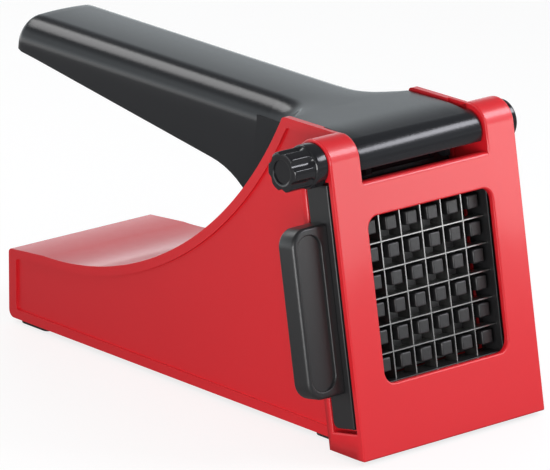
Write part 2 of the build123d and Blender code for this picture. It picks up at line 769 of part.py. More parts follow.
def retainer_screw_places():
    """Where the four small screws of the blade retainer stand."""
    low = window_sill - retainer_screw_top_inset
    high = window_top + retainer_screw_top_inset
    return [(x, up) for x in (-retainer_screw_half_x, retainer_screw_half_x) for up in (low, high)]


def make_retainer():
    ring = box(cartridge_left, cartridge_right, blade_rear, cartridge_rear, cartridge_bottom, cartridge_top)
    ring -= box(-half_window, half_window, 0, frame_depth, window_sill, window_top)
    for x, up in retainer_screw_places():
        hole = Pos(x, blade_rear, up) * Rot(X=90)
        ring -= hole * Cylinder(retainer_screw_radius, 4 * retainer_thickness)
        sink = Pos(x, cartridge_rear, up) * Rot(X=90)
        sink_radius = retainer_screw_head_radius + retainer_screw_head_clearance
        ring -= sink * Cylinder(sink_radius, 2 * retainer_screw_head_height)
    return leaned(ring)


def make_retainer_screws():
    height = retainer_screw_head_height
    socket = (retainer_screw_socket_radius, retainer_screw_socket_depth)
    length = retainer_screw_length - height
    one = screw(retainer_screw_radius, length, retainer_screw_head_radius, height, *socket)
    seat = cartridge_rear - height
    return [leaned(Pos(x, seat, up) * Rot(X=90) * one) for x, up in retainer_screw_places()]


pieces = {
    "body_shell": make_housing(),
    "front_frame": make_frame(),
    "frame_screws": Compound(children=make_frame_screws()),
    "axle_rod": make_axle_rod(),
    "axle_head": make_axle_head(),
    "knob": make_knob(),
    "knob_insert": make_knob_insert(),
    "knob_cap": make_knob_cap(),
    "lever": make_lever(),
    "pusher_plate": make_pusher(),
    "pusher_screws": Compound(children=make_pusher_screws()),
    "cartridge_frame": make_cartridge(),
    "blade_retainer": make_retainer(),
    "retainer_screws": Compound(children=make_retainer_screws()),
}
foot_names = ["foot_front_left", "foot_front_right", "foot_rear_left", "foot_rear_right"]
for name, (x, y) in zip(foot_names, foot_places()):
    pieces[name] = make_foot(x, y)
for number, place in enumerate(blade_places, 1):
    pieces[f"blade_v{number}"] = make_upright_blade(place)
    pieces[f"blade_h{number}"] = make_level_blade(-place)

bounds = Compound([solid for piece in pieces.values() for solid in piece.solids()]).bounding_box()
to_origin = Pos(-bounds.center().X, -bounds.center().Y, -bounds.min.Z)

os.makedirs("parts", exist_ok=True)
for name, piece in pieces.items():
    solids = (to_origin * piece).solids()
    export_step(solids[0] if len(solids) == 1 else Compound(solids), f"parts/{name}.step")
print("moved by", to_origin.position)
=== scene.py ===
import math
import bpy
from mathutils import Matrix, Vector


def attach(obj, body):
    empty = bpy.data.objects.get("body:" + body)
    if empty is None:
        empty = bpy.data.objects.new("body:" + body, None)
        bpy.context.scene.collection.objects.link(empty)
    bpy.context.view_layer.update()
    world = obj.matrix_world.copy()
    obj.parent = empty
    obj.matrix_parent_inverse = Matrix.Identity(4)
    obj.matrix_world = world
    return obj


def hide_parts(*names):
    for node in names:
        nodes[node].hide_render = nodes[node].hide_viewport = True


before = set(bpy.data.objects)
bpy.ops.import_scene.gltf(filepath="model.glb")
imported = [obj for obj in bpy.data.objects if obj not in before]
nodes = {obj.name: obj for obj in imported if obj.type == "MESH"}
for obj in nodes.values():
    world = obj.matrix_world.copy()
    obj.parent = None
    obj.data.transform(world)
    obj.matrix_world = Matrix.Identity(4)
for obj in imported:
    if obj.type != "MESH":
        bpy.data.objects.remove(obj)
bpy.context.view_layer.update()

bpy.ops.object.select_all(action="DESELECT")

# ---- The table, the backdrop, the lamps and the camera ----
# A plain pale studio: a white table that keeps the machine's soft shadow, a white backdrop that
# gloss mirrors as a graded wall of light, and soft lamps at the front right, the left and the rear.
scene = bpy.context.scene
scene.view_settings.view_transform = "Standard"


class Term:
    """A value in a material's node tree. Sums and products of terms add its Math nodes."""

    def __init__(self, finish, socket):
        self.finish = finish
        self.socket = socket

    def __add__(self, other):
        return self.finish.math("ADD", self, other)

    def __mul__(self, other):
        return self.finish.math("MULTIPLY", self, other)

    __radd__ = __add__
    __rmul__ = __mul__


class Finish:
    """A material, or the world, in the making: its nodes, and the one shader that they end in."""

    def __init__(self, name, world=False, **constants):
        self.data = (bpy.data.worlds if world else bpy.data.materials).new(name)
        self.data.use_nodes = True
        self.nodes = self.data.node_tree.nodes
        self.links = self.data.node_tree.links
        self.nodes.clear()
        kinds = ("OutputWorld", "Background") if world else ("OutputMaterial", "BsdfPrincipled")
        out, self.shader = [self.nodes.new("ShaderNode" + kind) for kind in kinds]
        self.links.new(self.shader.outputs[0], out.inputs["Surface"])
        self.give(**constants)

    def give(self, **values):
        """Sets or links the shader's sockets."""
        for socket, value in values.items():
            self.feed(self.shader.inputs[socket.replace("_", " ")], value)

    def feed(self, socket, value):
        if isinstance(value, Term):
            self.links.new(value.socket, socket)
        else:
            socket.default_value = value

    def add(self, kind, settings=None, inputs=None, output=0):
        """Adds a node with its settings and its sockets' values or links, and gives one output."""
        node = self.nodes.new("ShaderNode" + kind)
        for key, value in (settings or {}).items():
            if key == "stops":
                self.set_stops(node.color_ramp, value)
            else:
                setattr(node, key, value)
        for key, value in (inputs or {}).items():
            self.feed(node.inputs[key], value)
        return Term(self, node.outputs[output])

    def set_stops(self, ramp, stops):
        while len(ramp.elements) < len(stops):
            ramp.elements.new(0.5)
        for element, (place, colour) in zip(ramp.elements, stops):
            element.position = place
            element.color = colour

    def math(self, operation, a, b, clamp=False):
        return self.add("Math", {"operation": operation, "use_clamp": clamp}, {0: a, 1: b})

    def mix(self, share, a, b, blend="MIX"):
        """A colour between a and b, or b laid over a in another blend."""
        settings = {"data_type": "RGBA", "blend_type": blend}
        return self.add("Mix", settings, {"Factor": share, 6: a, 7: b}, 2)

    def place(self):
        return self.add("TexCoord", output="Object")

    def noise(self, scale, detail=2.0, where=None):
        inputs = {"Vector": where or self.place(), "Scale": scale, "Detail": detail}
        return self.add("TexNoise", None, inputs)

    def bump(self, height, strength, distance):
        return self.add("Bump", None, {"Height": height, "Strength": strength, "Distance": distance})


def grey(value):
    return (value, value, value, 1)


table_white = Finish(
    "white_table",
    Base_Color=grey(0.25),
    Roughness=0.6,
    Specular_IOR_Level=0.2,
    Emission_Strength=1.0,
)
table_seen = table_white.add("LightPath", output="Is Camera Ray")
table_mirrored = table_white.add("LightPath", output="Is Glossy Ray")
far_reach = 1.2
far_out = table_white.add("VectorMath", {"operation": "LENGTH"}, {0: table_white.place()}, "Value")
far_stops = [(0.6, grey(0.05)), (0.74, grey(1.3)), (0.95, grey(1.9))]
far_glow = table_white.add("ValToRGB", {"stops": far_stops}, {"Fac": far_out * (1 / far_reach)})
rearward = table_white.add("SeparateXYZ", None, {0: table_white.place()}, "Y")
to_rear = table_white.math("ADD", rearward * 2, 1.0, clamp=True)
rear_glow = table_white.mix(to_rear, grey(0.06), far_glow)
mirrored_glow = table_white.mix(table_mirrored, grey(0.0), rear_glow)
table_white.give(Emission_Color=table_white.mix(table_seen, mirrored_glow, grey(0.78)))

bpy.ops.mesh.primitive_plane_add(size=8, location=(0, 0, 0))
table = bpy.context.object
table.name = "table_top"
table.data.materials.append(table_white.data)

sky = Finish("studio", world=True)
scene.world = sky.data
sky_seen = sky.add("LightPath", output="Is Camera Ray")
sky_mirrored = sky.add("LightPath", output="Is Glossy Ray")
direction = sky.add("TexCoord", output="Generated")
upward = sky.add("SeparateXYZ", None, {0: direction}, "Z")
backward = sky.add("SeparateXYZ", None, {0: direction}, "Y")
wall_glow = [(0.0, 1.7), (0.04, 1.55), (0.1, 1.05), (0.14, 0.83), (0.19, 0.78), (0.26, 0.9)]
wall_glow += [(0.31, 0.92), (0.36, 0.74), (0.42, 0.42), (0.5, 0.18), (0.58, 0.12)]
wall_stops = [(place, (0.93 * glow, glow, 1.04 * glow, 1)) for place, glow in wall_glow]
wall_of_light = sky.add("ValToRGB", {"stops": wall_stops}, {"Fac": upward})
front_stops = [(0.0, grey(0.3)), (0.35, grey(0.35)), (0.55, grey(1.0))]
front_share = sky.add("ValToRGB", {"stops": front_stops}, {"Fac": backward * 0.5 + 0.5})
mirrored_wall = sky.mix(1.0, wall_of_light, front_share, "MULTIPLY")
sky.give(Color=sky.mix(sky_seen, sky.mix(sky_mirrored, grey(0.5), mirrored_wall), grey(1.0)))


def soft_lamp(name, place, target, width, height, power, colour=(1, 1, 1)):
    """A rectangular lamp that faces the target."""
    bpy.ops.object.light_add(type="AREA", location=place)
    lamp = bpy.context.object
    lamp.name = name
    lamp.data.shape = "RECTANGLE"
    lamp.data.size = width
    lamp.data.size_y = height
    lamp.data.energy = power
    lamp.data.color = colour
    lamp.visible_camera = False
    lamp.rotation_euler = (Vector(target) - Vector(place)).to_track_quat("-Z", "Y").to_euler()
    return lamp


cool = (0.98, 0.98, 1.06)
soft_lamp("front_right_lamp", (0.39, -0.42, 0.475), (0.01, -0.115, 0.126), 0.42, 0.16, 1.95, cool)
soft_lamp("left_lamp", (-0.52, -0.42, 0.13), (-0.03, -0.1, 0.06), 0.4, 0.2, 2.2)
soft_lamp("rear_lamp", (-0.09, 0.67, 0.73), (0, 0.02, 0.13), 0.4, 0.36, 1.7)

bpy.ops.object.camera_add(location=(-1.44852, -1.66779, 0.74283))
camera = bpy.context.object
camera.name = "camera"
sideways = Vector((0.75108349, -0.6601727, 0.00675305))
upwards = Vector((0.18955354, 0.22543195, 0.95564109))
turned = Matrix((sideways, upwards, sideways.cross(upwards))).transposed()
camera.rotation_euler = turned.to_euler()
camera.data.sensor_width = 36
camera.data.lens = 339.015
camera.data.clip_end = 50
scene.camera = camera

# ---- Housing ----
# One red moulding with a soft gloss, open underneath: two side walls with a raised rim round a
# sunk panel, a rear deck that sweeps up to them, and the potato trough between them. Ribs stiffen
# it inside, and seats in its corners carry its four rubber feet.

# Sizes are in millimetres from the middle of the front frame's foot, with Y to the rear and Z up.
# These three bring that point to its place, in the same unit.
middle_x, front_y, underside_z = 7.85, -137.0, 2.0
lean = math.radians(10.48)
axle_y, axle_z = 34.2188, 124.5129
half_width, draft, wall, rib = 42.9, 0.0309, 3.0, 2.0
wall_top, rear_y, rear_lean = 135.0, 255.7, 0.0375
deck_z, deck_fall = 34.55, 0.086
sweep_y, sweep_z, sweep_radius, sweep_end = 231.4, 212.75, 178.2, 240.0
trough_radius = 101.0
frame_depth = 22.0
ear_inner = 36.7
red = Finish("red_moulding", IOR=1.5, Specular_IOR_Level=0.6, Coat_Weight=0.4, Coat_Roughness=0.14)
red_grain = red.noise(260.0, 3.0)
red_flow = red.noise(9.0)
red.give(
    Base_Color=red.mix(red_flow, (0.70, 0.007, 0.015, 1), (0.76, 0.011, 0.02, 1)),
    Roughness=red_grain * 0.06 + 0.4,
    Normal=red.bump(red_grain, 0.05, 0.0003),
)


def block(low, high):
    """A cube stretched between two corners, in millimetres. Tools reach well past what they cut."""
    low, high = Vector(low), Vector(high)
    bpy.ops.mesh.primitive_cube_add(size=1, location=(low + high) / 2)
    piece = bpy.context.object
    piece.scale = high - low
    bpy.ops.object.transform_apply(location=True, rotation=True, scale=True)
    return piece


def side_block(way, inner, outer, low, high):
    """A block on one side of the middle, between two distances from it."""
    left, right = sorted((way * inner, way * outer))
    return block((left, *low), (right, *high))


def drum(radius, x0, x1, y, z, sides=48):
    """A cylinder along X."""
    middle = ((x0 + x1) / 2, y, z)
    bpy.ops.mesh.primitive_cylinder_add(vertices=sides, radius=radius, depth=x1 - x0, location=middle)
    bpy.ops.transform.rotate(value=math.pi / 2, orient_axis="Y", center_override=middle)
    bpy.ops.object.transform_apply(location=True, rotation=True, scale=True)
    return bpy.context.object


def pick(*pieces):
    """Selects these pieces alone, and makes the last one active."""
    bpy.ops.object.select_all(action="DESELECT")
    for piece in pieces:
        piece.select_set(True)
    bpy.context.view_layer.objects.active = pieces[-1]


def open_for_edit(piece, mode="VERT"):
    pick(piece)
    bpy.ops.object.mode_set(mode="EDIT")
    bpy.ops.mesh.select_mode(type=mode)
    bpy.ops.mesh.select_all(action="SELECT")


def slice_off(piece, point, normal):
    """Cuts away what lies beyond a plane, on the side its normal points to, and closes the cut."""
    open_for_edit(piece)
    bpy.ops.mesh.bisect(plane_co=point, plane_no=normal, use_fill=True, clear_outer=True)
    bpy.ops.object.mode_set(mode="OBJECT")


def slice_side(piece, way, inset):
    """Cuts a piece along the outer face of one side wall, moved in by the inset."""
    slice_off(piece, (way * (half_width - inset), 0, 0), (way, 0, draft))


def apply_modifier(piece, modifier):
    pick(piece)
    bpy.ops.object.modifier_apply(modifier=modifier.name)


def combine(piece, tool, operation="DIFFERENCE"):
    """Cuts a tool out of a piece, or joins it on, and removes the tool."""
    modifier = piece.modifiers.new("combine", "BOOLEAN")
    modifier.operation = operation
    modifier.solver = "EXACT"
    modifier.object = tool
    apply_modifier(piece, modifier)
    bpy.data.objects.remove(tool)


def round_edges(piece, chosen, width, segments=6):
    """Rounds the edges whose middle m and direction d pass the test."""
    open_for_edit(piece, "EDGE")
    bpy.ops.mesh.select_all(action="DESELECT")
    bpy.ops.object.mode_set(mode="OBJECT")
    points = piece.data.vertices
    for edge in piece.data.edges:
        a, b = (points[i].co for i in edge.vertices)
        edge.select = chosen((a + b) / 2, (b - a).normalized())
    bpy.ops.object.mode_set(mode="EDIT")
    bpy.ops.mesh.bevel(offset=width, segments=segments, affect="EDGES", clamp_overlap=False)
    bpy.ops.mesh.select_all(action="SELECT")
    bpy.ops.mesh.remove_doubles(threshold=0.001)
    bpy.ops.object.mode_set(mode="OBJECT")


def smooth(piece, degrees):
    """Smooth shading, except over edges sharper than the angle."""
    pick(piece)
    bpy.ops.object.shade_smooth_by_angle(angle=math.radians(degrees))


def faces_by_edge(piece):
    sides = {}
    for face in piece.data.polygons:
        for key in face.edge_keys:
            sides.setdefault(key, []).append(face)
    return sides


def mark_outer_edges(piece, angle):
    """Gives a bevel weight to each edge that points outward and is sharper than the angle."""
    normals = {}
    for face in piece.data.polygons:
        corners = list(face.vertices)
        for pair in zip(corners, corners[1:] + corners[:1]):
            normals[pair] = face.normal
    weights = piece.data.attributes.new("bevel_weight_edge", "FLOAT", "EDGE")
    for edge in piece.data.edges:
        a, b = edge.vertices
        along = piece.data.vertices[b].co - piece.data.vertices[a].co
        one, other = normals[a, b], normals[b, a]
        outward = one.cross(other).dot(along) > 0
        weights.data[edge.index].value = float(outward and one.angle(other) > angle)


def soften(piece, width, segments=4, clamp=True):
    """Rounds the outward edges a little. A second material marks the roundings until their
    borders are set sharp, which keeps the flat faces flat in the shading."""
    sharp = 30
    mark_outer_edges(piece, math.radians(sharp))
    modifier = piece.modifiers.new("soften", "BEVEL")
    modifier.width = width
    modifier.segments = segments
    modifier.limit_method = "WEIGHT"
    modifier.use_clamp_overlap = clamp
    modifier.material = 1
    piece.data.materials.clear()
    for part in ("faces", "roundings"):
        piece.data.materials.append(bpy.data.materials.new(part))
    apply_modifier(piece, modifier)
    smooth(piece, sharp)
    sides = faces_by_edge(piece)
    for edge in piece.data.edges:
        if len({face.material_index for face in sides[edge.key]}) == 2:
            edge.use_edge_sharp = True
    piece.data.materials.clear()


def dress(piece, finish):
    piece.data.materials.clear()
    piece.data.materials.append(finish.data)


def settle(piece, name, body, finish, replaced, leaning=False):
    """Brings a piece from millimetres to its place, with the frame's lean where it has one, and
    gives it its name, finish and body."""
    turn = Matrix.Rotation(-lean, 4, "X") if leaning else Matrix.Identity(4)
    move = Matrix.Translation((middle_x / 1000, front_y / 1000, underside_z / 1000))
    piece.data.transform(move @ Matrix.Scale(0.001, 4) @ turn)
    piece.data.update()
    piece.name = piece.data.name = name
    dress(piece, finish)
    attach(piece, body)
    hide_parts(*replaced)


def face_y(depth, z):
    """Y where the plane at this depth behind the leaning face stands at the height z."""
    return z * math.tan(lean) + depth / math.cos(lean)


def housing_form(front, bottom, rear, top, side):
    """The housing's outer form, each boundary moved in by its own amount."""
    form = block((-60, -20, bottom), (60, 300, wall_top - top))
    slice_off(form, (0, face_y(frame_depth, 0) + front, 0), (0, -math.cos(lean), math.sin(lean)))
    slice_off(form, (0, rear_y - rear, 0), (0, 1, -rear_lean))
    for way in (-1, 1):
        slice_side(form, way, side)
    above_deck = block((-70, sweep_y, deck_z - top), (70, 320, 160))
    for point in above_deck.data.vertices:
        if point.co.z < 100:
            point.co.z = deck_z - top - deck_fall * (point.co.y - sweep_y)
    combine(form, above_deck)
    sweep = drum(sweep_radius + top, -70, 70, sweep_y, sweep_z, sides=480)
    slice_off(sweep, (0, sweep_end, 0), (0, 1, 0))
    combine(form, sweep)
    return form


housing = housing_form(0, 0, 0, 0, 0)
round_edges(housing, lambda m, d: abs(d.x) > 0.9 and m.y > 250 and m.z < 5, 3.5)
round_edges(housing, lambda m, d: abs(d.x) > 0.9 and m.y > 250 and m.z > 25, 2.0)
round_edges(housing, lambda m, d: abs(d.x) > 0.9 and 60 < m.y < 80 and m.z > 134.99, 2.0)

trough = drum(trough_radius, -60, 60, axle_y, axle_z, sides=360)
for way in (-1, 1):
    slice_side(trough, way, wall)
combine(housing, trough)

hollow = housing_form(wall, -wall, wall, wall, wall)
combine(hollow, drum(trough_radius + wall, -70, 70, axle_y, axle_z, sides=360))
for rib_y in (92.0, 137.0, 182.0, 227.0):
    combine(hollow, block((-60, rib_y, 4.0), (60, rib_y + rib, 160)))
for foot_x in (-35.4, 35.4):
    for foot_y in (36.0, 240.0):
        foot_seat = block((foot_x - 9.0, foot_y - 11.5, -5), (foot_x + 9.0, foot_y + 11.5, wall))
        combine(hollow, foot_seat)
for boss_x in (-20, 20):
    bpy.ops.mesh.primitive_cylinder_add(vertices=32, radius=4.6, depth=60, location=(boss_x, 44, 37))
    screw_boss = bpy.context.object
    combine(hollow, screw_boss)
combine(housing, hollow)
lug_notch = block((-30.3, 0, 2.7), (30.3, 28.2, 7.3))
combine(housing, lug_notch)

rim, rim_rear, rim_top, panel_depth = 4.4, 5.3, 4.3, 1.2
panels = housing_form(rim, rim, rim_rear, rim_top, -8.0)
round_edges(panels, lambda m, d: abs(d.x) > 0.9 and (m.y > 240 or m.z < 6 or m.z > 130.69), 1.5, 4)
between_panels = block((-60, -20, -5), (60, 300, 160))
for way in (-1, 1):
    slice_side(between_panels, way, panel_depth)
combine(panels, between_panels)
combine(housing, panels)

for way in (-1, 1):
    tongue = side_block(way, ear_inner, 50, (36.0, 129.5), (48.2, wall_top))
    slice_side(tongue, way, 0)
    combine(housing, tongue, "UNION")
soften(housing, 0.7)
settle(housing, "red_housing", "base", red, ["body_shell"])

# ---- Front frame ----
# A second red moulding that leans back: the window for the cut sticks, the slot for the cartridge
# in its left side, and two round-topped ears that carry the axle. It is screwed to the housing.
frame_half, frame_top, ear_radius = 53.5, 139.66, 11.0
window_half, window_low, window_high = 36.3, 30.3, 102.9
slot_front, slot_rear, slot_top = 3.2, 18.4, 113.5
slot_right, skin = 40.95, 3.2
lip_z, lip_radius = 118.2, 2.0


def keep_flats(piece):
    """Ends the smooth shading where a rounding meets a much larger flat face."""
    sides = faces_by_edge(piece)
    for edge in piece.data.edges:
        one, other = sides[edge.key]
        small, large = sorted((one.area, other.area))
        if large > 25 * small and one.normal.angle(other.normal, 0.0) > 0.04:
            edge.use_edge_sharp = True


shell = block((-frame_half, 0, 0), (frame_half, frame_depth, frame_top))
round_edges(shell, lambda m, d: abs(d.x) > 0.9 and m.z > 139, 10.99, 28)
ear_gap = block((-ear_inner, -5, lip_z), (ear_inner, 30, 150))
gap_floor = block((-ear_inner, 5.2, lip_z - 3.0), (ear_inner, 30, 120))
window = block((-window_half, -5, window_low), (window_half, slot_front, window_high))
round_edges(window, lambda m, d: abs(d.y) > 0.9, 5.5, 8)
low = (-window_half, slot_front - 0.1, window_low - 1.0)
rear_opening = block(low, (window_half, 30, window_high + 1.0))
cartridge_slot = block((-60, slot_front, 13.0), (slot_right, slot_rear, slot_top))
end_plate_slot = block((-60, slot_front, 12.0), (-47.9, slot_rear, 121.0))
low = (slot_right + skin, slot_front, -5)
post_hollow = block(low, (frame_half - skin, slot_rear, slot_top))
sill_hollow = block((-frame_half + skin, slot_front, -5), (slot_right, slot_rear, 10.0))
axle_bore = drum(4.0, -60, 60, ear_radius, frame_top - ear_radius)
for cut in (ear_gap, gap_floor, window, rear_opening, cartridge_slot, end_plate_slot):
    combine(shell, cut)
for cut in (post_hollow, sill_hollow, axle_bore):
    combine(shell, cut)
soften(shell, 0.8, 3, clamp=False)
lip_corner = block((-ear_inner, -1, lip_z - lip_radius), (ear_inner, lip_radius, 119.0))
combine(lip_corner, drum(lip_radius, -40, 40, lip_radius, lip_z - lip_radius))
combine(shell, lip_corner)
smooth(shell, 30)
keep_flats(shell)
slice_off(shell, (0, 0, 0), (0, math.sin(lean), -math.cos(lean)))
settle(shell, "red_front_frame", "base", red, ["front_frame"], leaning=True)

# A weak soft lamp from the front right, only for the frame and for what shows in its window.
face_lamp = soft_lamp("face_lamp", (0.245, -0.325, 0.125), (0.03, -0.13, 0.125), 0.26, 0.1, 0.26)
face_lamp_reach = bpy.data.collections.new("frame_face")
face_lamp.light_linking.receiver_collection = face_lamp_reach
face_lamp_reach.objects.link(shell)

# ---- Lever ----
# A charcoal moulding in one piece: the hub round the axle, a flat top plate, and a hollow handle
# with rounded shoulders that flares out into the plate. Webs and a leaning wall under the hub
# carry the pusher.
lever_top, plate_underside, plate_crown = 134.2129, 126.2, 0.4
handle_half, handle_shoulder, flare_y = 24.5, 12.0, 70.5
arch_y, arch_z, arch_radius = 140.5, 56.4, 44.0
tip_y, tip_radius = 267.0, 5.0
flare = [(70.5, 35.1, 1.5), (72.0, 32.5, 2.4), (73.6, 30.6, 3.4), (75.5, 28.9, 5.2)]
flare += [(78.0, 27.4, 7.4), (80.5, 26.4, 9.0), (84.5, 25.5, 10.8), (89.0, 24.9, 11.6)]
flare += [(97.0, 24.6, 12.0), (105.0, 24.5, 12.0)]
charcoal = Finish("charcoal_moulding", IOR=1.5)
charcoal_grain = charcoal.noise(900.0)
charcoal_flow = charcoal.noise(14.0)
charcoal.give(
    Base_Color=charcoal.mix(charcoal_flow, (0.014, 0.015, 0.017, 1), (0.018, 0.019, 0.022, 1)),
    Roughness=charcoal_grain * 0.06 + 0.2,
    Normal=charcoal.bump(charcoal_grain, 0.08, 0.0002),
)


def rise(y):
    """How far the handle has risen at y."""
    return 0.01433 * max(y - flare_y, 0.0)


def plate_top(y):
    """Height of the upper face: it dips towards the hub and rises slightly along the handle."""
    return lever_top - max(50.0 - y, 0.0) ** 2 / 200 + rise(y)


def flare_at(y):
    """The handle's half width and the radius of its shoulder at y, between two stations."""
    if y <= flare[0][0]:
        return flare[0][1:]
    for (start, *before), (end, *after) in zip(flare, flare[1:]):
        if y <= end:
            share = (y - start) / (end - start)
            return [a + (b - a) * share for a, b in zip(before, after)]
    return flare[-1][1:]


def skirt_bottom(y):
    """Height of the lower edge of the webs, of the arch behind them and of the handle's sides."""
    if y < 70.0:
        return 36.0 - (70.0 - y) * 0.2108
    if y < 96.5:
        return arch_z - (96.5 - y) * 0.77
    if y < 134.0:
        return arch_z + math.sqrt(max(arch_radius**2 - (y - arch_y) ** 2, 0.0))
    return 99.93 + (y - 134.0) * 0.1548


def handle_ring(y, low, web, half, shoulder, top):
    """Points round the handle at y: up the left web, out under the plate's edge, over the top and
    down the right side."""
    under = max(plate_underside if half > web else low, low)
    flat = half - shoulder
    crown = plate_crown * min(max((y - 40) / 30, 0), 1)
    top -= crown
    left = [(-web, low), (-web, low + (under - low) * 0.5), (-web, under), (-half, under)]
    left += [(-half, under + (top - shoulder - under) * step / 4) for step in (1, 2, 3)]
    for step in range(13):
        turn = math.pi - math.pi / 2 * step / 12
        x = -half + shoulder + shoulder * math.cos(turn)
        left.append((x, top - shoulder + shoulder * math.sin(turn)))
    for step in range(1, 5):
        share = 1 - step / 5
        left.append((-flat * share, top + crown * (1 - share**2)))
    ring = left + [(0.0, top + crown)] + [(-x, z) for x, z in reversed(left)] + left[:1]
    return [(x, y, z) for x, z in ring]


def skin_over(rings):
    """A closed solid through a row of rings, its two ends filled."""
    across = len(rings[0])
    rows = len(rings)
    bpy.ops.mesh.primitive_grid_add(x_subdivisions=across - 1, y_subdivisions=rows - 1, size=1)
    piece = bpy.context.object
    for index, point in enumerate(piece.data.vertices):
        row, column = divmod(index, across)
        point.co = rings[row][column]
    open_for_edit(piece)
    bpy.ops.mesh.remove_doubles(threshold=0.0005)
    bpy.ops.mesh.select_all(action="DESELECT")
    bpy.ops.mesh.select_non_manifold()
    bpy.ops.mesh.edge_face_add()
    bpy.ops.mesh.select_all(action="SELECT")
    bpy.ops.mesh.normals_make_consistent(inside=False)
    bpy.ops.object.mode_set(mode="OBJECT")
    return piece


def tip_place(y, z):
    """The handle's last 15 mm lean: the foot of its end stands 2 mm further back than the top."""
    share = min(max((y - 257.0) / 15.0, 0.0), 1.0)
    return y + 2.0 * share * (137.1 - z) / 15.5


# Stations along the lever: close where it dips, flares and arches, and even along the handle.
lengthwise = [32.3, 34.3, 36.5, 39.0, 41.5, 44.0, 46.5, 49.0, 51.5, 54.0, 62.0, 69.99, 70.5, 96.51]
for (y, *_), (later, *_) in zip(flare, flare[1:]):
    lengthwise += [y + (later - y) * share for share in (0.5, 1.0)]
lengthwise += [arch_y - arch_radius * math.cos(math.radians(turn)) for turn in range(4, 78, 6)]
lengthwise = sorted(set(lengthwise))
lengthwise += [134.2 + 4.15 * step for step in range(33)]
rings = []
for y in lengthwise:
    half, shoulder = flare_at(y)
    rings.append(handle_ring(y, skirt_bottom(y), handle_half, half, shoulder, plate_top(y)))
for step in range(1, 9):
    turn = math.radians(step * 90 / 8)
    inset = tip_radius * (1 - math.cos(turn))
    y = tip_y + tip_radius * math.sin(turn)
    half, shoulder = handle_half - inset, handle_shoulder - inset * 0.6
    rings.append(handle_ring(y, skirt_bottom(y + 2), half, half, shoulder, plate_top(y) - inset))
lever = skin_over([[(x, tip_place(y, z), z) for x, y, z in ring] for ring in rings])

ahead_of_webs = block((-60, -40, -30), (60, axle_y, axle_z))
open_for_edit(ahead_of_webs)
bpy.ops.mesh.bisect(plane_co=(0, 0, 110.53), plane_no=(0, 0, 1))
bpy.ops.object.mode_set(mode="OBJECT")
for point in ahead_of_webs.data.vertices:
    if point.co.y > 0 and point.co.z < 120:
        point.co.y = face_y(23.0, point.co.z)
combine(lever, ahead_of_webs)

bay_half = handle_half - wall
bay_ends = (20.0, flare_y, 269.0)
bay = skin_over([handle_ring(y, -40.0, bay_half, bay_half, 9.0, 131.2 + rise(y)) for y in bay_ends])
slice_off(bay, (0, face_y(25.5, 0), 0), (0, -math.cos(lean), math.sin(lean)))
for rib_y in (150.0, 185.0, 220.0, 255.0):
    combine(bay, block((-30, rib_y, lever_top + rise(rib_y) - 14), (30, rib_y + rib, 160)))
combine(lever, bay)
for way in (-1, 1):
    under_plate = side_block(way, handle_half, 32.1, (43.92, 90), (flare_y, 130.8))
    combine(lever, under_plate)
    under_flare = side_block(way, handle_half, 27.0, (70.4, 90), (74.5, 130.6))
    combine(lever, under_flare)

hub_half = 36.3
hub = drum(9.2, -hub_half, hub_half, 33.9, 123.586, sides=160)
round_edges(hub, lambda m, d: abs(abs(m.x) - hub_half) < 0.05, 1.2)
combine(lever, hub, "UNION")
carrier = block((-32, 22.5, 33.0), (32, 25.5, 99.2))
hub_wall = block((-33.6, 22.5, 96.2), (33.6, 25.5, 138.4))
for upright in (carrier, hub_wall):
    upright.data.transform(Matrix.Rotation(-lean, 4, "X"))
slice_off(hub_wall, (0, 0, 132.7), (0, 0, 1))
combine(lever, carrier, "UNION")
combine(lever, hub_wall, "UNION")

under_hub = block((-60, 10, 110), (60, 42.6, 120.4))
combine(under_hub, drum(5.6, -70, 70, axle_y, axle_z, sides=64))
for way in (-1, 1):
    web = side_block(way, 21.4, 24.6, (33, 100), (60, 125))
    combine(under_hub, web)
combine(lever, under_hub)
hub_bore = drum(4.05, -60, 60, axle_y, axle_z, sides=64)
combine(lever, hub_bore)
smooth(lever, 35)
settle(lever, "charcoal_lever", "lever", charcoal, ["lever"])

# ---- Pusher ----
# A dark grey moulding: a plate behind the blades with one square stud for each cell of the blade
# grid. Four screws hold it to the lever, and its studs push the potato through the blades.
cells, pitch, grid_middle = 6, 12.0, 65.9
stud_right, stud_up = 1.0, 1.1
stud_grey = Finish("stud_moulding", IOR=1.5, Specular_IOR_Level=0.8)
stud_grain = stud_grey.noise(700.0, 3.0)
stud_flow = stud_grey.noise(60.0)
stud_grey.give(
    Base_Color=stud_grey.mix(stud_flow, (0.006, 0.006, 0.007, 1), (0.012, 0.012, 0.013, 1)),
    Roughness=stud_grain * 0.2 + 0.36,
    Normal=stud_grey.bump(stud_grain, 0.25, 0.0003),
)
plate = block((-35.6, 18.5, 30.5), (35.6, 22.5, 101.7))
soften(plate, 0.5, 2)
stud = block((-3.05, 7.25, -3.15), (3.05, 19.0, 3.15))
soften(stud, 0.7, 3)
studs = [stud] + [stud.copy() for _ in range(cells**2 - 1)]
for place, twin in enumerate(studs):
    column, row = divmod(place, cells)
    if twin is not stud:
        twin.data = stud.data.copy()
        bpy.context.collection.objects.link(twin)
    x = (column - (cells - 1) / 2) * pitch + stud_right
    twin.location = (x, 0, grid_middle + stud_up + (row - (cells - 1) / 2) * pitch)
pick(*studs, plate)
bpy.ops.object.join()
face_lamp_reach.objects.link(plate)
settle(plate, "studded_pusher", "lever", stud_grey, ["pusher_plate"], leaning=True)

